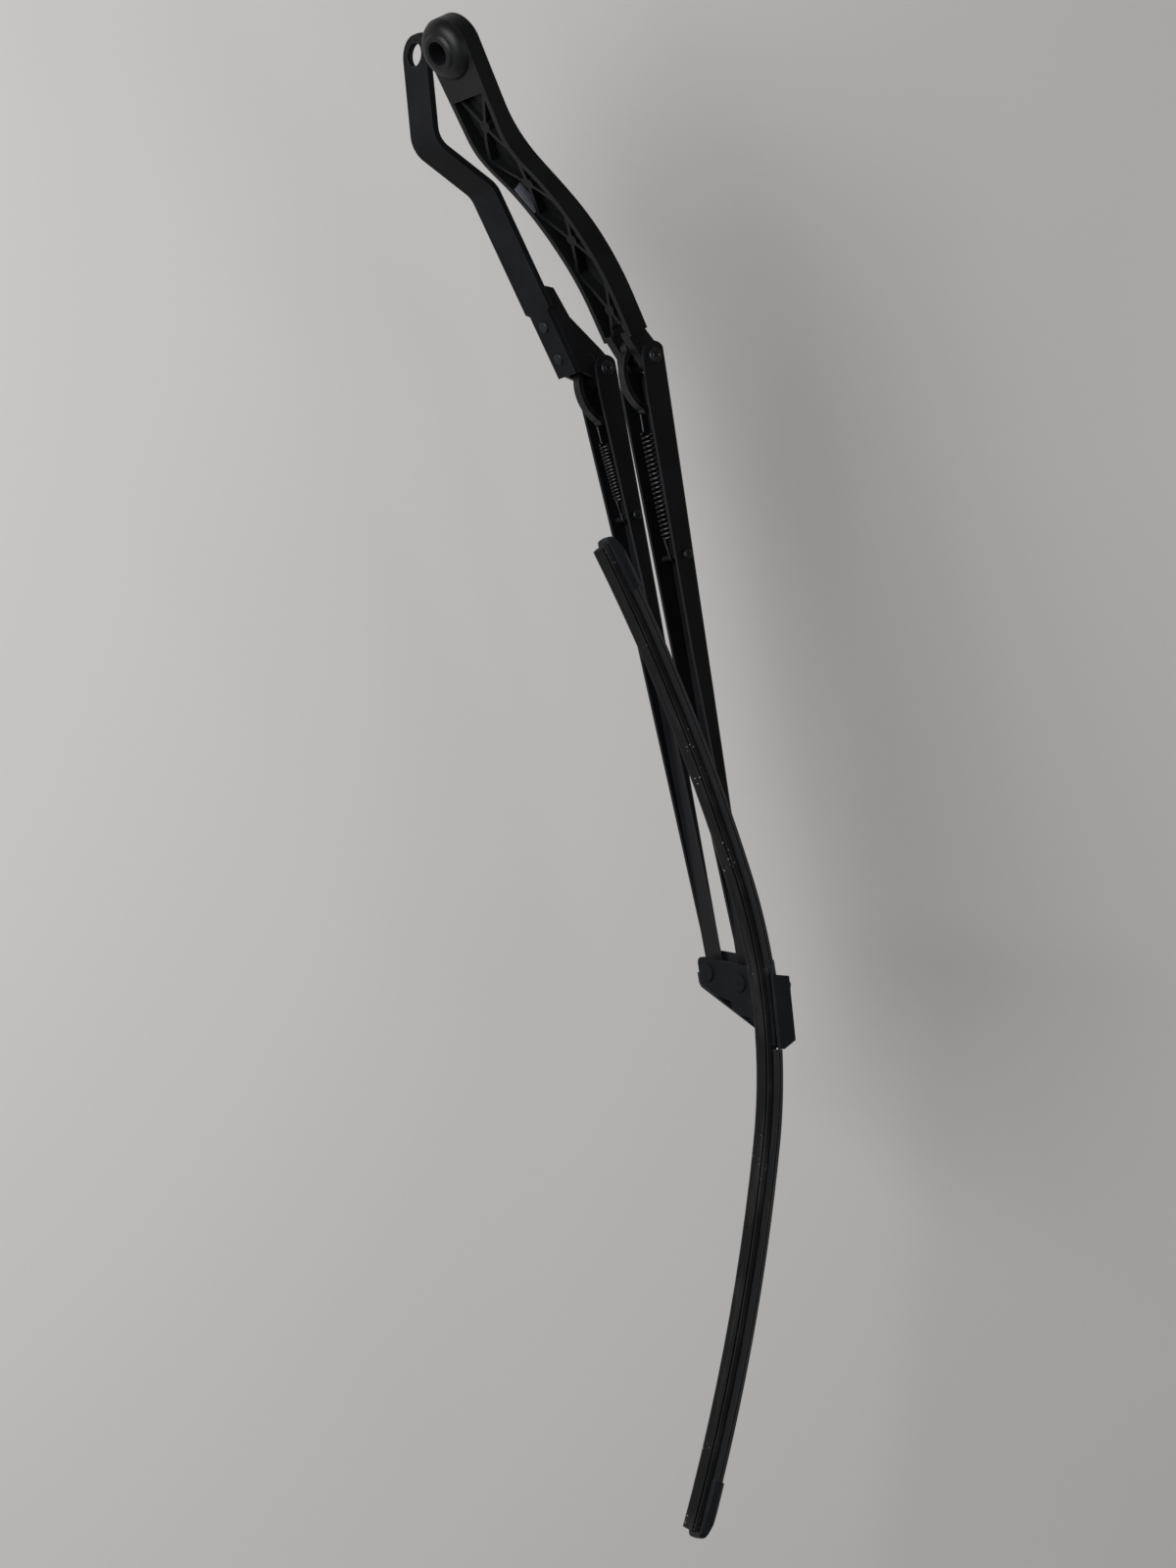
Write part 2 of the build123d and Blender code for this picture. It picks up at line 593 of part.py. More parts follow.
def spoiler_section():
    """Spoiler with a steep near side, a hollow far side and claws round the rails."""
    foot = -RAIL_TALL / 2 - CLAW * 0.6
    ridge = (RIDGE_Y - RIDGE_FLAT / 2, RIDGE_Z)
    lee = (RIDGE_Y + RIDGE_FLAT / 2, RIDGE_Z)
    edge = RAIL_TALL
    outline = make_face([
        ThreePointArc((-SPOILER_HALF, edge), (ridge[0] - 1.6, RIDGE_Z * 0.55), ridge), Line(ridge, lee),
        ThreePointArc(lee, (SPOILER_HALF * 0.24, RIDGE_Z * 0.42), (SPOILER_HALF, edge)),
        Polyline((SPOILER_HALF, edge), (RAIL_OUT + CLAW * 0.5, foot), (-RAIL_OUT - CLAW * 0.5, foot),
                 (-SPOILER_HALF, edge))])
    return outline - grip_void()


def squeegee_section():
    """Rubber: head over the rails, neck between them, shoulder, tilt web and wiping wedge."""
    over = RAIL_TALL / 2 + FIT
    under = -over
    neck = RAIL_IN - FIT
    web = 0.55
    return mirrored([(HEAD_HALF, RUBBER_HEAD_TOP), (HEAD_HALF, over), (neck, over), (neck, under),
                     (SHOULDER, under - 0.5), (SHOULDER, LIP_Z * 0.41), (web, LIP_Z * 0.45),
                     (web, LIP_Z * 0.51), (WEDGE, LIP_Z * 0.55), (LIP, LIP_Z)])


def rail(side):
    """One spring steel rail, on the far side for +1 and the near side for -1."""
    strip = Pos(side * (RAIL_IN + RAIL_OUT) / 2, 0) * Rectangle(RAIL_OUT - RAIL_IN, RAIL_TALL)
    return along_blade(strip, RAIL_END - BLADE_INNER, BLADE_OUTER - RAIL_END)


def end_cap(way):
    """Moulded cap over the end of the blade, outer for +1 and inner for -1."""
    low = -RAIL_TALL / 2 - CLAW
    wide = SPOILER_HALF + CAP_WALL
    top = RIDGE_Z + CAP_WALL
    sill = low + 2.2
    section = make_face([ThreePointArc((-wide, sill), (-wide * 0.35, top), (wide, sill)),
                         Polyline((wide, sill), (wide, low), (-wide, low), (-wide, sill))])
    body = extrude(Plane.YZ * section, CAP_LONG, dir=(1, 0, 0))
    flank = make_face([Polyline((0, low), (0, top)), ThreePointArc((0, top), (CAP_LONG * 0.6, top * 0.74),
                                                                  (CAP_LONG, top * 0.34)),
                       Polyline((CAP_LONG, top * 0.34), (CAP_LONG, low), (0, low))])
    flank = fillet(flank.vertices().group_by(Axis.X)[-1], 1.2)
    plan = poly((0, wide), (CAP_LONG * 0.5, wide), (CAP_LONG, wide * 0.7), (CAP_LONG, -wide * 0.7),
                (CAP_LONG * 0.5, -wide), (0, -wide))
    plan = fillet(plan.vertices().group_by(Axis.X)[-1], wide * 0.5)
    body = body & side_prism(flank, 4 * wide) & upright(plan, -top, 2 * top)
    tip = BLADE_OUTER if way > 0 else BLADE_INNER
    base = station(way * (tip - CAP_LONG))
    body = base * (body if way > 0 else mirror(body, Plane.YZ))
    rails = tip - RAIL_END + FIT * 4
    start = tip - CAP_LONG - 1
    ends = (start, rails) if way > 0 else (-rails, -start)
    return body - along_blade(grip_void(), *ends)


def blade_base():
    """Steel saddle on the rails with two cheeks for the base rivet."""
    foot = -RAIL_TALL / 2 - CLAW
    outline = mirrored([(BASE_HALF - 1.2, BASE_TOP), (BASE_HALF, BASE_TOP - 1.2), (BASE_HALF, foot)])
    body = along_blade(outline - grip_void(), -BASE_HALF_LONG, BASE_HALF_LONG)
    x, z = BASE_RIVET
    long = CHEEK_END - CHEEK_START
    low = BASE_TOP - RAIL_DROP - 1
    high = z + 2 * BASE_RIVET_R
    for y in (CHEEK_HALF - CHEEK / 2, -CHEEK_HALF + CHEEK / 2):
        cheek = Pos(CHEEK_START + long / 2, y, (low + high) / 2) * Box(long, CHEEK, high - low)
        body += fillet(cheek.edges().filter_by(Axis.Y).group_by(Axis.Z)[-1], BASE_RIVET_R)
    return body - rod(BASE_RIVET_R + SEAT, 4 * CHEEK_HALF, x, z)


def blade_adapter():
    """Moulded adapter: open below, with a cross bore for the side pin and a window for the button."""
    flank = poly((-ADAPTER_BACK, ADAPTER_LOW), (-ADAPTER_BACK + 1.8, ADAPTER_TOP),
                 (ADAPTER_FRONT - 4.5, ADAPTER_TOP), (ADAPTER_FRONT, ADAPTER_LOW + 3.2),
                 (ADAPTER_FRONT, ADAPTER_LOW))
    body = side_prism(flank, 2 * ADAPTER_HALF)
    body = fillet(body.edges().group_by(Axis.Z)[-1], ADAPTER_ROUND)
    inner = ADAPTER_HALF - ADAPTER_WALL
    roof = ADAPTER_TOP - ADAPTER_WALL
    room = ADAPTER_BACK + ADAPTER_FRONT - 3 * ADAPTER_WALL
    middle = (ADAPTER_FRONT - ADAPTER_BACK) / 2 - ADAPTER_WALL * 0.5
    tall = roof - ADAPTER_LOW
    body -= Pos(middle, 0, roof - tall) * Box(room, 2 * inner, 2 * tall)
    gate = BASE_TOP - RAIL_DROP + SLIP
    body -= Pos(0, 0, gate - tall) * Box(4 * ADAPTER_FRONT, 2 * inner, 2 * tall)
    body += rod(PIN_BOSS_R, 2 * inner + ADAPTER_WALL)
    bore = PIN_END + SLIP + ADAPTER_HALF
    body -= rod(PIN_R + RUN_GAP, bore, 0, 0, ADAPTER_HALF - bore / 2)
    x, z = BASE_RIVET
    body -= rod(BASE_RIVET_R + SEAT, 2 * inner + ADAPTER_WALL, x, z)
    long = BUTTON_FRONT - BUTTON_BACK
    window = Box(long + 2 * SLIP, 2 * (BUTTON_HALF + SLIP), 4 * ADAPTER_WALL)
    return body - Pos((BUTTON_BACK + BUTTON_FRONT) / 2, 0, ADAPTER_TOP) * window


def adapter_button():
    """Release button with a hooked thumb face and a foot under the adapter's roof."""
    foot = ADAPTER_TOP - ADAPTER_WALL - SLIP
    top = ADAPTER_TOP + BUTTON_RISE
    low = foot - BUTTON_FOOT
    flank = poly((BUTTON_BACK, low), (BUTTON_BACK, ADAPTER_TOP - 1), (BUTTON_BACK + 0.6, top - 0.6),
                 (BUTTON_BACK + 2.2, top), (BUTTON_FRONT - 2.4, top - 1.4),
                 (BUTTON_FRONT, ADAPTER_TOP - 0.4), (BUTTON_FRONT, low))
    body = side_prism(flank, 2 * BUTTON_HALF)
    body = fillet(body.edges().filter_by(Axis.Y).group_by(Axis.Z)[-1], 0.8)
    long = BUTTON_FRONT - BUTTON_BACK + SLIP * 2
    base = Box(long, 2 * BUTTON_HALF + 2, BUTTON_FOOT)
    return body + Pos(BUTTON_FRONT - long / 2, 0, foot - BUTTON_FOOT / 2) * base


def main():
    os.makedirs("parts", exist_ok=True)
    tongue_w = MAIN_WIDTH - 2 * SHEET - 2 * SLIP
    write(main_head(), "main_head")
    write(CHANNEL * rod(LINK_PIN_R, tongue_w - 2, -LINK_PIN_BACK, -LINK_PIN_DROP), "main_link_pin")
    write(CHANNEL * channel(PIVOT_X, MAIN_WIDTH, MAIN_EAR, MAIN_LOWER, MAIN_ANCHOR), "main_channel")
    write(CHANNEL * cross_rivet(HINGE_PIN_R, HINGE_HEAD_R, MAIN_WIDTH + 2 * SEAT), "main_hinge_pin")
    write(CHANNEL * cross_rivet(ANCHOR_R, ANCHOR_HEAD_R, MAIN_WIDTH, *MAIN_ANCHOR), "main_spring_rivet")
    write(CHANNEL * spring_link(), "main_spring_link")
    write(CHANNEL * tension_spring(MAIN_COIL_R, MAIN_WIRE, MAIN_COILS, MAIN_ANCHOR), "main_spring")

    write(STRAP * control_strap(), "control_strap")
    write(STRAP * control_knuckle(), "control_knuckle")
    write(STRAP * strap_rivets(), "strap_rivets")
    pin_long = knuckle_width() - 1
    write(CONTROL * rod(LINK_PIN_R, pin_long, -LINK_PIN_BACK, -LINK_PIN_DROP), "control_link_pin")
    write(CONTROL * channel(CONTROL_LONG, CONTROL_WIDTH, CONTROL_EAR, CONTROL_LOWER, CONTROL_ANCHOR),
          "control_channel")
    write(CONTROL * cross_rivet(HINGE_PIN_R, HINGE_HEAD_R, CONTROL_WIDTH + 2 * SEAT), "control_hinge_pin")
    write(CONTROL * cross_rivet(ANCHOR_R, ANCHOR_HEAD_R, CONTROL_WIDTH, *CONTROL_ANCHOR),
          "control_spring_rivet")
    write(CONTROL * spring_link(), "control_spring_link")
    write(CONTROL * tension_spring(CONTROL_COIL_R, CONTROL_WIRE, CONTROL_COILS, CONTROL_ANCHOR),
          "control_spring")

    coupler = CHANNEL * Pos(PIVOT_X, 0, 0)
    control_pivot = Pos(-PIVOT_BACK, PIVOT_SIDE, 0)
    write(coupler * coupler_plate(), "coupler_plate")
    write(coupler * coupler_cover(), "coupler_cover")
    write(coupler * pivot_rivet(), "main_pivot_rivet")
    write(coupler * pivot_bush(), "main_pivot_bush")
    write(coupler * control_pivot * pivot_rivet(), "control_pivot_rivet")
    write(coupler * control_pivot * pivot_bush(), "control_pivot_bush")
    write(CHANNEL * Pos(PIN_X, -BLADE_SIDE, PIN_Z) * side_pin(), "side_pin")

    spoiler_start = ADAPTER_FRONT + 1
    cap_room = CAP_LONG + SLIP
    rubber = along_blade(squeegee_section(), RAIL_END - BLADE_INNER, BLADE_OUTER - RAIL_END)
    write(BLADE * rail(-1), "rail_near")
    write(BLADE * rail(1), "rail_far")
    write(BLADE * rubber, "squeegee")
    write(BLADE * along_blade(spoiler_section(), cap_room - BLADE_INNER, -spoiler_start), "spoiler_inner")
    write(BLADE * along_blade(spoiler_section(), spoiler_start, BLADE_OUTER - cap_room), "spoiler_outer")
    write(BLADE * end_cap(-1), "end_cap_inner")
    write(BLADE * end_cap(1), "end_cap_outer")
    write(BLADE * blade_base(), "blade_base")
    write(BLADE * rod(BASE_RIVET_R, 2 * (ADAPTER_HALF - ADAPTER_WALL) + 1, *BASE_RIVET), "base_rivet")
    write(BLADE * blade_adapter(), "blade_adapter")
    write(BLADE * adapter_button(), "adapter_button")


main()
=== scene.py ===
# %% [markdown]
# # Dressing a twin-arm windshield wiper
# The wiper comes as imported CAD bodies. This lesson keeps their shapes, gives each surface the finish of
# the real thing, and models the small work that the solids leave out: wound springs, toothed bores,
# rings on the rivets, ribs on the release button, and the beads and butt ends of the spoilers.

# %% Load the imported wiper
import json
from itertools import product
from math import atan2, cos, degrees, hypot, pi, radians, sin

import bpy
from mathutils import Matrix, Vector


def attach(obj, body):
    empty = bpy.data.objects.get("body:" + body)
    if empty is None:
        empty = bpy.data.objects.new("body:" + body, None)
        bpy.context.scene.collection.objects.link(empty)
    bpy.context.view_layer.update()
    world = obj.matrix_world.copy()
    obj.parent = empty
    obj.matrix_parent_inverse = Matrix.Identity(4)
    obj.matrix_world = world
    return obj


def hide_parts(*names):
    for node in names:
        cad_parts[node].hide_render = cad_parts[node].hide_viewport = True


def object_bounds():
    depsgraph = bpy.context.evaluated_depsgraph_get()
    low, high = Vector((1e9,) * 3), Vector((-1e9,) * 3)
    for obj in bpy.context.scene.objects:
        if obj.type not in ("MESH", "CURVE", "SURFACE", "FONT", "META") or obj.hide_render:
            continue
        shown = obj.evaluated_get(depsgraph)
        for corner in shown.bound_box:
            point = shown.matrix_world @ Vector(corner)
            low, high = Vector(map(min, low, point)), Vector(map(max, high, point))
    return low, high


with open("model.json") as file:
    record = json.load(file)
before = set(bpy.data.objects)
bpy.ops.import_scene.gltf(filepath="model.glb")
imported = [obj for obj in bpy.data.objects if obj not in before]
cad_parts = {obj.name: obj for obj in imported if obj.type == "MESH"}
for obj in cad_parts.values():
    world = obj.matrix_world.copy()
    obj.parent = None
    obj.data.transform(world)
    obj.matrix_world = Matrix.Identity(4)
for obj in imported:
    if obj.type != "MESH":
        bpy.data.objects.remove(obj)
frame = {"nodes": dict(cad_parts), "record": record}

cad_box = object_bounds()
print("nodes", len(frame["nodes"]), "box", [round(b - a, 3) for a, b in zip(*cad_box)])

# %% [markdown]
# Both arms fall towards the glass from their hinges, so it is easier to think along an arm than along
# the wiper's own axes. Empties could hold these frames, but a matrix is multiplied in one line and
# leaves nothing behind in the scene. Each arm, the strap and the blade get one, in metres.

# %% Frames of the arms, the strap and the blade
MM = 0.001
ARM_DROP = radians(19.0)
BLADE_DROP = radians(4.0)
HINGE = Vector((203.0, 0.0, 47.4)) * MM
# The next four are places in the main arm's frame.
MAIN_PIVOT = Vector((358.8, 0.0, 0.0)) * MM
CONTROL_PIVOT = Vector((351.3, 27.0, 0.0)) * MM
CONTROL_HINGE = Vector((0.0, 42.0, 0.0)) * MM
BLADE_PIN = Vector((375.0, -31.0, -2.0)) * MM

main_arm = Matrix.Translation(HINGE) @ Matrix.Rotation(ARM_DROP, 4, "Y")
yaw = atan2(CONTROL_HINGE.y - CONTROL_PIVOT.y, CONTROL_PIVOT.x)
control_arm = main_arm @ Matrix.Translation(CONTROL_HINGE) @ Matrix.Rotation(-yaw, 4, "Z")
strap = control_arm @ Matrix.Rotation(-ARM_DROP, 4, "Y")
blade = main_arm @ Matrix.Translation(BLADE_PIN) @ Matrix.Rotation(BLADE_DROP, 4, "Y")
print("control arm turned by", round(degrees(yaw), 2), "degrees")

# %% [markdown]
# Every finish below is a small node tree. One function adds a node and sets or links its inputs, and
# one turns the hex colours that a picture program shows into the linear values that a shader needs.

# %% Node and colour helpers
# A colour Mix node has its factor and its two colours in these inputs, and its result in this output.
FACTOR, FIRST, SECOND, MIXED = 0, 6, 7, 2
finishes = {}


def linear(code):
    """sRGB hex to linear RGBA."""
    parts = [int(code[i:i + 2], 16) / 255 for i in (1, 3, 5)]
    return (*[p / 12.92 if p <= 0.04045 else ((p + 0.055) / 1.055) ** 2.4 for p in parts], 1.0)


def add_node(tree, kind, inputs=None, **settings):
    """Add a node with its settings; an input is a value or another node's output."""
    made = tree.nodes.new(kind)
    for name, value in settings.items():
        setattr(made, name, value)
    for name, value in (inputs or {}).items():
        if isinstance(value, bpy.types.NodeSocket):
            tree.links.new(value, made.inputs[name])
        else:
            made.inputs[name].default_value = value
    return made


print("black paint in linear light:", [round(v, 4) for v in linear("#0c0d0e")])

# %% [markdown]
# Paint, plastic and rubber have the same bones: a tone that wanders over patches of a few centimetres,
# a fine grain that breaks the gloss, and paler edges, which are partly rubbed wear and partly a painted
# highlight that lies along every edge. The edges could be painted by hand, but the Bevel node finds them
# by comparing the surface with a rounded copy of itself, so no unwrapping is needed.

# %% The shared build-up of a worn black surface


def worn_surface(slot, name, dark, pale, edge, patch_mm, grain_mm, rough, bump_mm, shine, edge_mm=0.7):
    """Make a finish with patches, grain and paler edges, partly rubbed wear and partly painted highlight;
    returns its tree and main nodes by name.
    """
    made = bpy.data.materials.new(name)
    made.use_nodes = True
    tree = made.node_tree
    shader = tree.nodes["Principled BSDF"]
    shader.inputs["Specular IOR Level"].default_value = shine
    place = add_node(tree, "ShaderNodeTexCoord").outputs["Object"]
    patch = add_node(tree, "ShaderNodeTexNoise", {"Vector": place, "Scale": 1000 / patch_mm,
                                                  "Detail": 6.0, "Roughness": 0.62})
    grain = add_node(tree, "ShaderNodeTexNoise", {"Vector": place, "Scale": 1000 / grain_mm,
                                                  "Detail": 2.0})
    tone = add_node(tree, "ShaderNodeMapRange", {"Value": patch.outputs["Fac"], "From Min": 0.32,
                                                 "From Max": 0.72})
    body = add_node(tree, "ShaderNodeMix", {FACTOR: tone.outputs["Result"], FIRST: linear(dark),
                                            SECOND: linear(pale)}, data_type="RGBA")
    # Every edge is mixed towards the edge colour whatever the light: partly rubbed wear, partly a painted
    # highlight.
    rounded = add_node(tree, "ShaderNodeBevel", {"Radius": edge_mm * MM}, samples=4)
    flat = add_node(tree, "ShaderNodeNewGeometry").outputs["Normal"]
    turned = add_node(tree, "ShaderNodeVectorMath", {0: rounded.outputs["Normal"], 1: flat},
                      operation="DOT_PRODUCT")
    wear_and_glint = add_node(tree, "ShaderNodeMapRange", {"Value": turned.outputs["Value"], "From Min": 0.985,
                                                "From Max": 0.86, "To Max": 0.8})
    broken_wear_and_glint = add_node(tree, "ShaderNodeMath", {0: wear_and_glint.outputs["Result"], 1: grain.outputs["Fac"]},
                      operation="MULTIPLY")
    colour = add_node(tree, "ShaderNodeMix", {FACTOR: broken_wear_and_glint.outputs["Value"],
                                              FIRST: body.outputs[MIXED],
                                              SECOND: linear(edge)}, data_type="RGBA")
    gloss = add_node(tree, "ShaderNodeMapRange", {"Value": patch.outputs["Fac"], "From Min": 0.3,
                                                  "From Max": 0.75, "To Min": rough[0],
                                                  "To Max": rough[1]})
    relief = add_node(tree, "ShaderNodeBump", {"Height": grain.outputs["Fac"],
                                               "Distance": bump_mm * MM, "Strength": 0.6})
    tree.links.new(colour.outputs[MIXED], shader.inputs["Base Color"])
    tree.links.new(gloss.outputs["Result"], shader.inputs["Roughness"])
    tree.links.new(relief.outputs["Normal"], shader.inputs["Normal"])
    finishes[slot] = made
    print(slot, "is", name)
    return {"tree": tree, "shader": shader, "place": place, "patch": patch, "colour": colour}


# %% [markdown]
# The head is die-cast aluminium under satin black powder paint. The casting's skin shows through as a
# faint orange peel, about a millimetre across, so its highlights are soft and slightly broken.

# %% Powder paint on the die-cast head
worn_surface("cast_paint", "powder painted aluminium casting", "#0c0d0e", "#151617", "#34353a",
             patch_mm=34, grain_mm=1.1, rough=(0.34, 0.5), bump_mm=0.06, shine=0.22)

# %% [markdown]
# The channels and the knuckle are pressed steel with a thinner, smoother dip paint. It has a slight
# bluish sheen, and the press has left long, faint draw lines. A noise that is stretched along the arm
# gives those lines, and they take the place of the grain's relief.

# %% Dip paint on pressed steel


def stretched_noise(finish, sizes_mm, detail):
    """A noise with its own size along each axis, for marks that run along a piece."""
    stretch = add_node(finish["tree"], "ShaderNodeMapping", {"Vector": finish["place"],
                                                             "Scale": [1000 / s for s in sizes_mm]})
    noise = add_node(finish["tree"], "ShaderNodeTexNoise", {"Vector": stretch.outputs["Vector"],
                                                            "Scale": 1.0, "Detail": detail})
    return noise.outputs["Fac"]


steel = worn_surface("steel_paint", "dip painted pressed steel", "#0c0d0f", "#141518", "#3e3f43",
                     patch_mm=46, grain_mm=0.9, rough=(0.36, 0.48), bump_mm=0.03, shine=0.2)
draw_lines = stretched_noise(steel, (83.33, 2.381, 2.381), detail=3.0)
line_relief = add_node(steel["tree"], "ShaderNodeBump", {"Height": draw_lines, "Distance": 0.03 * MM,
                                                         "Strength": 0.35})
steel["tree"].links.new(line_relief.outputs["Normal"], steel["shader"].inputs["Normal"])

# %% [markdown]
# The strap is flat bar with a greyer phosphate coat, which is why it looks paler than the arms. The
# coupler's plate has the same kind of coat, but finer. Both are dull, so they have little shine.

# %% Phosphate coat on strap and plate
worn_surface("strap_paint", "phosphated flat steel", "#101113", "#1a1b1d", "#4a4a4b",
             patch_mm=22, grain_mm=0.8, rough=(0.54, 0.68), bump_mm=0.05, shine=0.08)
worn_surface("plate_paint", "phosphated coupler plate", "#121315", "#191a1d", "#3c3c3d",
             patch_mm=18, grain_mm=0.7, rough=(0.56, 0.7), bump_mm=0.04, shine=0.07)

# %% [markdown]
# Rivets, pins and links are blackened steel: metallic, but with the black oxide worn through where the
# rivet set has struck them; their pale edges are that wear and also a painted highlight. The spring wire
# is brighter, partly because the coils rub and partly as a painted highlight of its glints.

# %% Blackened rivets and oiled spring wire
# The pale edge colour of the rivets is partly worn oxide and partly a painted highlight.
rivet = worn_surface("pin_steel", "blackened rivet steel", "#17181a", "#2c2d2f", "#77767a",
                     patch_mm=4, grain_mm=0.6, rough=(0.34, 0.5), bump_mm=0.03, shine=0.4, edge_mm=0.5)
rivet["shader"].inputs["Metallic"].default_value = 0.6
# The spring wire's paler tones and pale edges are partly rub marks and partly a painted highlight of its
# glints.
wire = worn_surface("spring_steel", "oiled spring wire", "#232425", "#3f4042", "#7c7c7a",
                    patch_mm=5, grain_mm=0.7, rough=(0.26, 0.42), bump_mm=0.02, shine=0.5, edge_mm=0.4)
wire["shader"].inputs["Metallic"].default_value = 0.9

# %% [markdown]
# The adapter, its button, the end caps and the coupler's hood are moulded from glass-filled nylon. A
# spark-eroded mould gives it an even grain of about half a millimetre. That is too fine to show from
# this far, so it is drawn a little coarser. The bushes are acetal, which is smoother.

# %% Grained nylon mouldings and acetal bushes
worn_surface("moulding", "grained glass-filled nylon", "#101215", "#1a1c20", "#3b3d41",
             patch_mm=28, grain_mm=0.8, rough=(0.44, 0.58), bump_mm=0.07, shine=0.26)
worn_surface("bush_plastic", "acetal bearing bush", "#18181a", "#222225", "#3a3a3c",
             patch_mm=10, grain_mm=0.8, rough=(0.34, 0.46), bump_mm=0.02, shine=0.3)

# %% [markdown]
# The squeegee is natural rubber that has gone grey with wear. Its marks run along the blade, so a noise
# is stretched lengthwise, and a few chalky specks of dry dirt lie in patches. The specks are the
# centres of a Voronoi pattern's cells.

# %% Worn rubber of the squeegee
SPECK_MM = 2.381


def pale_streaks(finish, sizes_mm, tint, detail, start, full, most):
    """Lay pale marks along a piece over its colour; returns the new colour."""
    tree = finish["tree"]
    amount = add_node(tree, "ShaderNodeMapRange", {"Value": stretched_noise(finish, sizes_mm, detail),
                                                   "From Min": start, "From Max": full, "To Max": most})
    streaked = add_node(tree, "ShaderNodeMix", {FACTOR: amount.outputs["Result"],
                                                FIRST: finish["colour"].outputs[MIXED],
                                                SECOND: linear(tint)}, data_type="RGBA")
    tree.links.new(streaked.outputs[MIXED], finish["shader"].inputs["Base Color"])
    return streaked.outputs[MIXED]


rubber = worn_surface("rubber", "worn natural rubber", "#121314", "#1f1f1f", "#343432",
                      patch_mm=30, grain_mm=0.7, rough=(0.52, 0.7), bump_mm=0.05, shine=0.2, edge_mm=0.5)
dusty = pale_streaks(rubber, (38.46, 2.0, 38.46), "#4a4a48", detail=4.0, start=0.5, full=0.74, most=0.35)
speck = add_node(rubber["tree"], "ShaderNodeTexVoronoi", {"Vector": rubber["place"],
                                                          "Scale": 1000 / SPECK_MM})
dot = add_node(rubber["tree"], "ShaderNodeMapRange", {"Value": speck.outputs["Distance"],
                                                      "From Min": 0.2, "From Max": 0.1})
where = add_node(rubber["tree"], "ShaderNodeMapRange", {"Value": rubber["patch"].outputs["Fac"],
                                                        "From Min": 0.54, "From Max": 0.6})
chalk = add_node(rubber["tree"], "ShaderNodeMath", {0: dot.outputs["Result"], 1: where.outputs["Result"]},
                 operation="MULTIPLY")
chalky = add_node(rubber["tree"], "ShaderNodeMix", {FACTOR: chalk.outputs["Value"], FIRST: dusty,
                                                    SECOND: linear("#a9a7a1")}, data_type="RGBA")
rubber["tree"].links.new(chalky.outputs[MIXED], rubber["shader"].inputs["Base Color"])

# %% [markdown]
# The spoiler is a soft extruded plastic. It is blacker than the squeegee and has a faint satin sheen,
# with a few pale streaks along its length.

# %% Soft extruded spoiler
spoiler = worn_surface("spoiler_rubber", "soft extruded spoiler plastic", "#0d0e10", "#17181b", "#363739",
                       patch_mm=40, grain_mm=0.8, rough=(0.42, 0.56), bump_mm=0.04, shine=0.24)
pale_streaks(spoiler, (71.43, 2.632, 71.43), "#2f3034", detail=3.0, start=0.52, full=0.78, most=0.4)

# %% [markdown]
# Each CAD node names a slot in the record, so the finishes can be handed out by a loop. The two pivot
# rivets were coated together with the coupler's plate, so they take the plate's finish.

# %% Finishes on the CAD nodes
COATED_RIVETS = ("main_pivot_rivet", "control_pivot_rivet")
for entry in frame["record"]["subparts"]:
    node = frame["nodes"][entry["node"]]
    coated = entry["node"] in COATED_RIVETS
    node.data.materials.clear()
    node.data.materials.append(finishes["plate_paint" if coated else entry["material_slot"]])

# %% [markdown]
# New pieces are drawn about the origin of a frame and then carried to their place. The last step always
# is the same: put the place into the mesh, turn the faces outwards, give the piece its finish and let
# it ride on a body.

# %% Helpers for new pieces
WELD = 0.01 * MM
SMOOTH_BELOW = radians(40)
SECTION_SIDES = 10


def clear_selection():
    """Leave edit mode with nothing selected."""
    if bpy.context.object and bpy.context.object.mode == "EDIT":
        bpy.ops.object.mode_set(mode="OBJECT")
    bpy.ops.object.select_all(action="DESELECT")


def pick(piece, test):
    """Enter edit mode on a piece with only the vertices selected that pass a test on their place."""
    bpy.ops.object.mode_set(mode="EDIT")
    bpy.ops.mesh.select_mode(type="VERT")
    bpy.ops.mesh.select_all(action="DESELECT")
    bpy.ops.object.mode_set(mode="OBJECT")
    for vertex in piece.data.vertices:
        vertex.select = test(vertex.co)
    bpy.ops.object.mode_set(mode="EDIT")


def block(size_mm):
    """A cube drawn to a size, as the start of a piece."""
    clear_selection()
    bpy.ops.mesh.primitive_cube_add(size=1)
    made = bpy.context.object
    made.scale = Vector(size_mm) * MM
    bpy.ops.object.transform_apply(scale=True)
    return made


def section(radius, centre, turn=(0, 0, 0)):
    """The round section of a wire or bead, ready to be swept."""
    clear_selection()
    bpy.ops.mesh.primitive_circle_add(vertices=SECTION_SIDES, radius=radius, location=centre, rotation=turn)
    bpy.ops.object.transform_apply(location=True, rotation=True)
    return bpy.context.object


def settle(piece, name, place, body, slot):
    """Carry a piece to its place, with the place in its mesh, and let it ride on a body."""
    clear_selection()
    piece.select_set(True)
    bpy.context.view_layer.objects.active = piece
    piece.matrix_world = place @ piece.matrix_world
    bpy.ops.object.transform_apply(location=True, rotation=True, scale=True)
    bpy.ops.object.mode_set(mode="EDIT")
    bpy.ops.mesh.select_all(action="SELECT")
    bpy.ops.mesh.remove_doubles(threshold=WELD)
    bpy.ops.mesh.normals_make_consistent(inside=False)
    bpy.ops.object.mode_set(mode="OBJECT")
    bpy.ops.object.shade_smooth_by_angle(angle=SMOOTH_BELOW)
    piece.name = name
    piece.data.materials.clear()
    piece.data.materials.append(finishes[slot])
    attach(piece, body)
    print(name, "faces", len(piece.data.polygons))
    return piece


# %% [markdown]
# A tension spring is close-wound wire with a hook at each end. The coil is one round section carried
# by a Screw modifier. Each hook is the same section, spun round its bend and then extruded straight
# back into the coil. A curve with a bevel would be quicker, but the hooks would be hard to place.

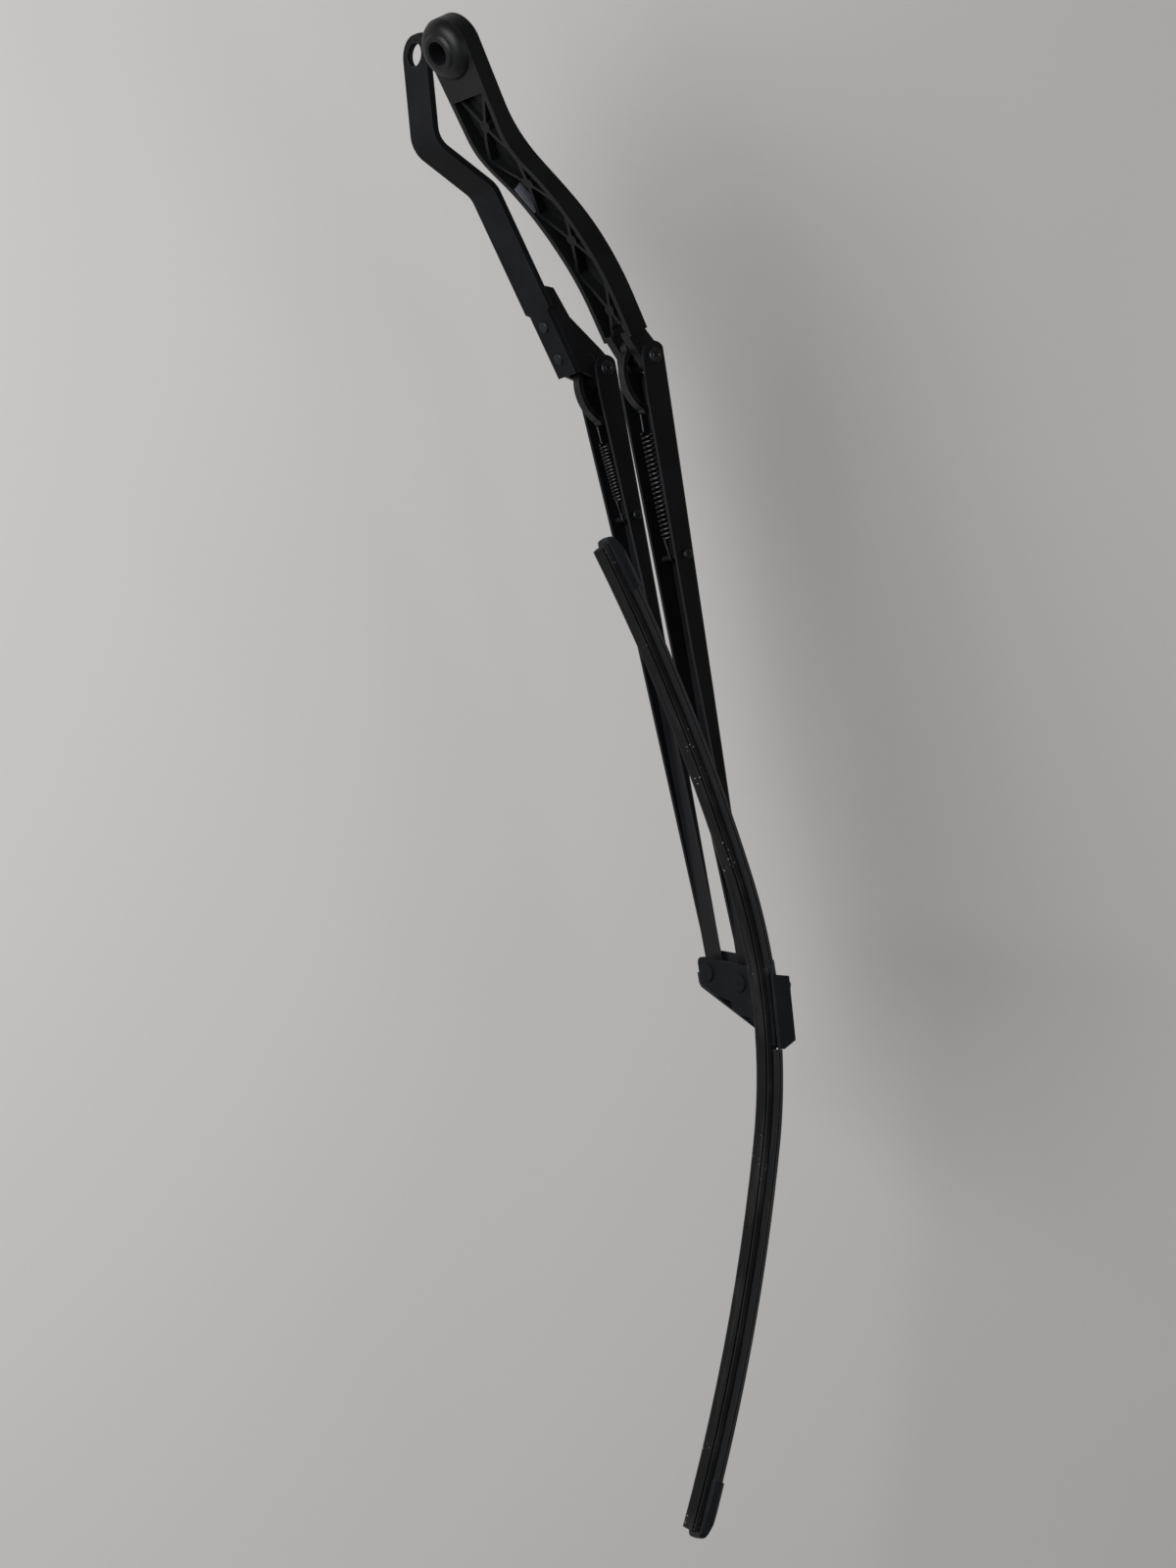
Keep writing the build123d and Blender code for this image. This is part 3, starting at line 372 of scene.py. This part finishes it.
# %% Wound springs
LINK_HOLE = (29.0, -4.0)
HOOK_LONG, ANCHOR_LONG = 13.0, 11.0
LINK_HALF, LINK_GAP = 2.5, 0.3
ANCHOR_R, ANCHOR_GAP = 1.8, 0.02
HOOK_TURN, HOOK_STEPS = 1.15 * pi, 16
CATCH_BEND, CATCH_STEPS = 1.4, 8
STEPS_PER_COIL = 22
SAME_PLACE = 0.001 * MM


def wound_spring(name, arm, anchor, coil_r, wire_d, coils, body):
    """Wind a spring from the link's hole to the anchor rivet, first along Z, and lay it in its arm."""
    run = (anchor[0] - LINK_HOLE[0], anchor[1] - LINK_HOLE[1])
    far = hypot(*run) * MM
    first, last = HOOK_LONG * MM, far - ANCHOR_LONG * MM
    wire_r = wire_d * MM / 2
    middle = coil_r * MM - wire_r
    coil = section(wire_r, (middle, 0, first), (pi / 2, 0, 0))
    winding = coil.modifiers.new("winding", "SCREW")
    winding.angle, winding.axis, winding.iterations = 2 * pi, "Z", coils
    winding.screw_offset = (last - first) / coils
    winding.steps = winding.render_steps = STEPS_PER_COIL
    bpy.ops.object.modifier_apply(modifier="winding")
    # The hook goes round the anchor rivet.
    loop = ANCHOR_R * MM + wire_r + ANCHOR_GAP * MM
    hook = section(wire_r, (loop, 0, far))
    pick(hook, lambda co: True)
    bpy.ops.mesh.spin(steps=HOOK_STEPS, angle=HOOK_TURN, center=(0, 0, far), axis=(0, 1, 0))
    pick(hook, lambda co: abs(co.z - far) < SAME_PLACE and co.x > 0)
    bpy.ops.mesh.extrude_region_move(
        TRANSFORM_OT_translate={"value": (middle - loop, 0, last - far - wire_r)})
    # The catch passes through the link's hole.
    eye, bend = LINK_HALF * MM + wire_r + LINK_GAP * MM, CATCH_BEND * MM
    catch = section(wire_r, (0, eye, bend))
    pick(catch, lambda co: True)
    bpy.ops.mesh.spin(steps=CATCH_STEPS, angle=pi / 2, center=(0, eye - bend, bend), axis=(1, 0, 0))
    bpy.ops.mesh.extrude_region_move(TRANSFORM_OT_translate={"value": (0, bend - 2 * eye, 0)})
    pick(catch, lambda co: abs(co.z - bend) < SAME_PLACE and co.y > eye - wire_r - SAME_PLACE)
    bpy.ops.mesh.extrude_region_move(
        TRANSFORM_OT_translate={"value": (0, middle - eye, first - bend + wire_r)})
    clear_selection()
    for piece in (hook, catch, coil):
        piece.select_set(True)
    bpy.context.view_layer.objects.active = coil
    bpy.ops.object.join()
    lean = Matrix.Rotation(pi / 2 - atan2(run[1], run[0]), 4, "Y")
    place = arm @ Matrix.Translation((LINK_HOLE[0] * MM, 0, LINK_HOLE[1] * MM)) @ lean
    return settle(coil, name, place, body, "spring_steel")


main_coil = wound_spring("main_spring_wire", main_arm, anchor=(114.0, 1.0), coil_r=5.2, wire_d=1.8,
                         coils=23, body="main_arm")
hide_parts("main_spring")
control_coil = wound_spring("control_spring_wire", control_arm, anchor=(86.0, 2.0), coil_r=4.6, wire_d=1.7,
                            coils=17, body="control_arm")
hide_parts("control_spring")

# %% [markdown]
# Both bores grip a knurled stud, so their walls carry fine teeth. A tube is drawn with two columns of
# points for each tooth, every other column is drawn inwards, and a Solidify modifier backs the teeth.

# %% Toothed bores
BORE_R, TEETH = 6.98, 36
TOOTH_TIP = 0.94             # the tips' share of the bore's radius
BACKING = 0.4
SPINDLE_MID, STRAP_EYE, STRAP_EYE_TILT = (0, 0, 5.6), (-206.0, 0, -20.9), radians(25.0)


def toothed_bore(name, place, length, body, slot):
    """A thin toothed sleeve that lines a bore."""
    clear_selection()
    bpy.ops.mesh.primitive_cylinder_add(vertices=2 * TEETH, radius=BORE_R * MM, depth=length * MM,
                                        end_fill_type="NOTHING")
    sleeve = bpy.context.object
    step = pi / TEETH
    pick(sleeve, lambda co: round(atan2(co.y, co.x) / step) % 2 == 0)
    bpy.ops.transform.resize(value=(TOOTH_TIP, TOOTH_TIP, 1), center_override=(0, 0, 0))
    bpy.ops.object.mode_set(mode="OBJECT")
    backing = sleeve.modifiers.new("backing", "SOLIDIFY")
    backing.thickness, backing.offset = BACKING * MM, 1.0
    bpy.ops.object.modifier_apply(modifier="backing")
    return settle(sleeve, name, place, body, slot)


spindle = Matrix.Translation(Vector(SPINDLE_MID) * MM)
toothed_bore("spindle_teeth", spindle, length=9.6, body="head", slot="cast_paint")
strap_eye = strap @ Matrix.Translation(Vector(STRAP_EYE) * MM) @ Matrix.Rotation(STRAP_EYE_TILT, 4, "Y")
toothed_bore("strap_teeth", strap_eye, length=3.8, body="strap", slot="strap_paint")

# %% [markdown]
# A rivet that has been closed in a press shows the ring of its tool. Each ring is a flattened torus on
# the rivet's head, half sunk into it.

# %% Rings on the rivet heads
RING_THICK, RING_FLAT = 0.42, 0.62
RING_RIM, RING_SLOPE = 0.3, 0.12       # the outer rim that is drawn down, and how far
PIVOT_RING_R, PIVOT_TAIL = 3.1, 1.12
HINGE_RING_R, HINGE_HEAD = 2.2, 1.62


def press_ring(name, place, radius, body, slot="pin_steel"):
    """The ring that a rivet set leaves on a head."""
    clear_selection()
    bpy.ops.mesh.primitive_torus_add(major_radius=radius * MM, minor_radius=RING_THICK * MM,
                                     major_segments=40, minor_segments=8)
    ring = bpy.context.object
    pick(ring, lambda co: True)
    bpy.ops.transform.resize(value=(1, 1, RING_FLAT), center_override=(0, 0, 0))
    pick(ring, lambda co: hypot(co.x, co.y) > radius * MM + RING_RIM * MM)
    bpy.ops.transform.translate(value=(0, 0, -RING_SLOPE * MM))
    return settle(ring, name, place, body, slot)


under = Matrix.Rotation(pi, 4, "X")
for label, pivot in (("main", MAIN_PIVOT), ("control", CONTROL_PIVOT)):
    tail = main_arm @ Matrix.Translation(pivot + Vector((0, 0, -PIVOT_TAIL * MM))) @ under
    press_ring(label + "_pivot_ring", tail, PIVOT_RING_R, "coupler", "plate_paint")
for label, arm, half_width in (("main", main_arm, 12.0), ("control", control_arm, 10.0)):
    for end, sign in (("near", -1), ("far", 1)):
        outwards = Matrix.Rotation(-sign * pi / 2, 4, "X")
        face = Matrix.Translation((0, sign * (half_width + HINGE_HEAD) * MM, 0)) @ outwards
        press_ring(f"{label}_hinge_ring_{end}", arm @ face, HINGE_RING_R, label + "_arm")

# %% [markdown]
# The wall inside the head carries a small blank paper sticker. A cube is drawn to its size and its
# edges are softened with a bevel. The paper is matt, with a cloudy tone from its fibres.

# %% Blank sticker in the head
FIBRE_MM = 1.111
STICKER = (18, 0.3, 6.4)
STICKER_AT, STICKER_TURN = (93.5, 10.72, 26.5), radians(-21)
paper = bpy.data.materials.new("matt paper sticker")
paper.use_nodes = True
pulp = paper.node_tree
on_paper = add_node(pulp, "ShaderNodeTexCoord").outputs["Object"]
fibre = add_node(pulp, "ShaderNodeTexNoise", {"Vector": on_paper, "Scale": 1000 / FIBRE_MM, "Detail": 4.0})
tint = add_node(pulp, "ShaderNodeMix", {FACTOR: fibre.outputs["Fac"], FIRST: linear("#3f414a"),
                                        SECOND: linear("#74767f")}, data_type="RGBA")
pulp.links.new(tint.outputs[MIXED], pulp.nodes["Principled BSDF"].inputs["Base Color"])
pulp.nodes["Principled BSDF"].inputs["Roughness"].default_value = 0.75

sticker = block(STICKER)
corners = sticker.modifiers.new("corners", "BEVEL")
corners.width, corners.segments, corners.limit_method = 0.1 * MM, 2, "ANGLE"
bpy.ops.object.modifier_apply(modifier="corners")
on_wall = Matrix.Translation(Vector(STICKER_AT) * MM) @ Matrix.Rotation(STICKER_TURN, 4, "Y")
settle(sticker, "blank_sticker", on_wall, "head", "moulding")
sticker.data.materials[0] = paper

# %% [markdown]
# The release button has three ribs for the thumb. One rib is a bevelled bar, and an Array modifier
# steps it down the sloping face.

# %% Ribs on the release button
RIB, RIB_COUNT = (0.7, 7.4, 0.8), 3
RIB_STEP, FIRST_RIB = (1.6, 0, -0.4), (-12.2, 0, 8.3)
ribs = block(RIB)
soften = ribs.modifiers.new("soften", "BEVEL")
soften.width, soften.segments = 0.2 * MM, 2
bpy.ops.object.modifier_apply(modifier="soften")
steps = ribs.modifiers.new("steps", "ARRAY")
steps.count, steps.use_relative_offset, steps.use_constant_offset = RIB_COUNT, False, True
steps.constant_offset_displace = Vector(RIB_STEP) * MM
bpy.ops.object.modifier_apply(modifier="steps")
settle(ribs, "button_ribs", blade @ Matrix.Translation(Vector(FIRST_RIB) * MM), "button", "moulding")

# %% [markdown]
# The blade curves tightly in its middle and gently towards its tips. A thin bead runs along the near
# face of each spoiler. Its section is spun round the centre of the tight bend first, and then round the
# centre of the gentle one.

# %% Beads along the spoilers
RAIL_DROP, MID_ARC, MID_BEND, TAIL_BEND = 7.0, 76.0, 288.0, 1050.0
BEAD_R, BEAD_AT, BEAD_START = 0.3, (0, -5.0, 2.9), 24.0
MID_STEPS, TAIL_STEPS = 18, 30


def station(s):
    """The blade's frame at s millimetres from the side pin, inside the tight bend."""
    turn = s / MID_BEND
    at = Vector((MID_BEND * sin(turn), 0, -RAIL_DROP - MID_BEND * (1 - cos(turn)))) * MM
    return Matrix.Translation(at) @ Matrix.Rotation(turn, 4, "Y")


def spoiler_bead(name, way, length):
    """A bead from near the side pin to a length along the blade, one way (-1) or the other (1)."""
    bead = section(BEAD_R * MM, (0, 0, 0), (0, pi / 2, 0))
    bead.data.transform(station(way * BEAD_START) @ Matrix.Translation(Vector(BEAD_AT) * MM))
    pick(bead, lambda co: True)
    bpy.ops.mesh.spin(steps=MID_STEPS, angle=-way * (MID_ARC - BEAD_START) / MID_BEND,
                      center=(0, 0, -(RAIL_DROP + MID_BEND) * MM), axis=(0, 1, 0))
    centre = station(way * MID_ARC) @ Vector((0, 0, -TAIL_BEND * MM))
    bpy.ops.mesh.spin(steps=TAIL_STEPS, angle=-way * (length - MID_ARC) / TAIL_BEND, center=centre,
                      axis=(0, 1, 0))
    return settle(bead, name, blade, "blade", "spoiler_rubber")


spoiler_bead("bead_inner", way=-1, length=249.4)
spoiler_bead("bead_outer", way=1, length=263.4)

# %% [markdown]
# The cut ends of the spoilers butt against the adapter. Each butt end is a block whose top is drawn in
# to the spoiler's ridge, set in the frame of the rails where the gap lies.

# %% Butt ends of the spoilers
BUTT_WIDE, BUTT_TALL, BUTT_MID = 12.2, 7.6, 3.1
RIDGE_SHARE, RIDGE_SHIFT = 0.14, -2.0


def spoiler_butt(name, at, long):
    """The end of a spoiler between its cut and the adapter."""
    butt = block((long, BUTT_WIDE, BUTT_TALL))
    pick(butt, lambda co: co.z > 0)
    bpy.ops.transform.resize(value=(1, RIDGE_SHARE, 1), center_override=(0, 0, 0))
    bpy.ops.transform.translate(value=(0, RIDGE_SHIFT * MM, 0))
    bpy.ops.object.mode_set(mode="OBJECT")
    rounding = butt.modifiers.new("rounding", "BEVEL")
    rounding.width, rounding.segments = 0.3 * MM, 2
    bpy.ops.object.modifier_apply(modifier="rounding")
    place = blade @ station(at) @ Matrix.Translation((0, 0, BUTT_MID * MM))
    return settle(butt, name, place, "blade", "spoiler_rubber")


spoiler_butt("spoiler_butt_inner", at=-21.7, long=3.8)
spoiler_butt("spoiler_butt_outer", at=23.1, long=1.4)

# %% [markdown]
# The photograph looks at the wiper from the glass side with a long lens. The camera's axes follow from
# two angles: how far the arms are tipped away from the view, and how the arm lies across the picture.
# Its place follows from one point whose place in the picture is known, the middle of the boss.

# %% Camera
TILT = radians(52)
SLANT = Vector((0.155, 0.988)).normalized()
WIDE_PX, TALL_PX, LENS_PX = 1200, 1600, 4074
BOSS_PX = (446, 55)
MM_PER_PX = 0.54
SENSOR = 36
along = Vector((cos(ARM_DROP), 0, -sin(ARM_DROP)))
out = Vector((sin(ARM_DROP), 0, cos(ARM_DROP)))
sideways = Vector((0, 1, 0))
to_camera = -sin(TILT) * sideways - cos(TILT) * out
across = sin(TILT) * out - cos(TILT) * sideways
right = SLANT.y * across + SLANT.x * along
down = SLANT.y * along - SLANT.x * across
facing = Matrix((right, -down, to_camera)).transposed().to_4x4()
distance = LENS_PX * MM_PER_PX * MM
boss = Vector((BOSS_PX[0] - WIDE_PX / 2, BOSS_PX[1] - TALL_PX / 2)) * (distance / LENS_PX)
eye_point = to_camera * distance - right * boss.x - down * boss.y
bpy.ops.object.camera_add()
camera = bpy.context.object
camera.matrix_world = Matrix.Translation(eye_point) @ facing
camera.data.sensor_fit, camera.data.sensor_height = "VERTICAL", SENSOR
camera.data.lens = SENSOR * LENS_PX / TALL_PX
camera.data.clip_end = 50
bpy.context.scene.camera = camera
print("camera at", [round(v, 3) for v in eye_point])

# %% [markdown]
# The wiper lies on a pale sheet. The sheet is a plane that faces the camera just behind the resting
# wiper. It is seen through from behind, so it doesn't hide the wiper in the views from there. Seen from
# the camera, an arm that is lifted off the glass passes behind it.

# %% Pale sheet behind the wiper
SHEET_SIZE, SHEET_GAP = 8, 0.01
depth = min(Vector(corner).dot(to_camera) for corner in product(*zip(*cad_box))) - SHEET_GAP
middle_of_view = eye_point - to_camera * (eye_point.dot(to_camera) - depth)
clear_selection()
bpy.ops.mesh.primitive_plane_add(size=SHEET_SIZE)
backdrop = bpy.context.object
backdrop.name = "pale_sheet"
backdrop.matrix_world = Matrix.Translation(middle_of_view) @ facing
pale = bpy.data.materials.new("pale matt sheet")
pale.use_nodes = True
ground = pale.node_tree
matt = ground.nodes["Principled BSDF"]
matt.inputs["Base Color"].default_value = linear("#c2c0bf")
matt.inputs["Roughness"].default_value = 0.9
matt.inputs["Specular IOR Level"].default_value = 0.1
behind = add_node(ground, "ShaderNodeNewGeometry").outputs["Backfacing"]
nothing = add_node(ground, "ShaderNodeBsdfTransparent")
one_sided = add_node(ground, "ShaderNodeMixShader", {0: behind, 1: matt.outputs["BSDF"],
                                                     2: nothing.outputs["BSDF"]})
ground.links.new(one_sided.outputs["Shader"], ground.nodes["Material Output"].inputs["Surface"])
backdrop.data.materials.append(pale)
print("sheet at depth", round(depth, 3))

# %% [markdown]
# Soft studio light: a large lamp to the left of the camera and a weaker one to its right. A third, on
# the far side, reaches only what has been lifted past the sheet. The world gives the rest, and it is
# dim, so that black paint stays black.

# %% Lights and world
AIM = Vector((0.42, 0, -0.06))
ROOM_LIGHT = 0.12


def soft_lamp(name, at, size, power):
    """A square lamp, in metres and watts, that shines at the middle of the wiper."""
    bpy.ops.object.light_add(type="AREA", location=at)
    lamp = bpy.context.object
    lamp.name = name
    lamp.data.size, lamp.data.energy = size, power
    lamp.rotation_euler = (at - AIM).to_track_quat("Z", "Y").to_euler()
    print(name, power, "W at", [round(v, 2) for v in at])


soft_lamp("key", AIM + to_camera * 1.5 - right * 1.3 - down * 0.4, size=1.4, power=47)
soft_lamp("fill", AIM + to_camera * 1.9 + right * 1.6 + down * 0.3, size=0.9, power=8)
soft_lamp("far_side", AIM - to_camera * 0.6 + Vector((0.2, 1.0, 2.2)), size=1.6, power=45)
scene = bpy.context.scene
world = bpy.data.worlds.new("pale room")
scene.world = world
world.use_nodes = True
world.node_tree.nodes["Background"].inputs["Color"].default_value = linear("#d6d5d4")
world.node_tree.nodes["Background"].inputs["Strength"].default_value = ROOM_LIGHT
scene.view_settings.view_transform = "Standard"
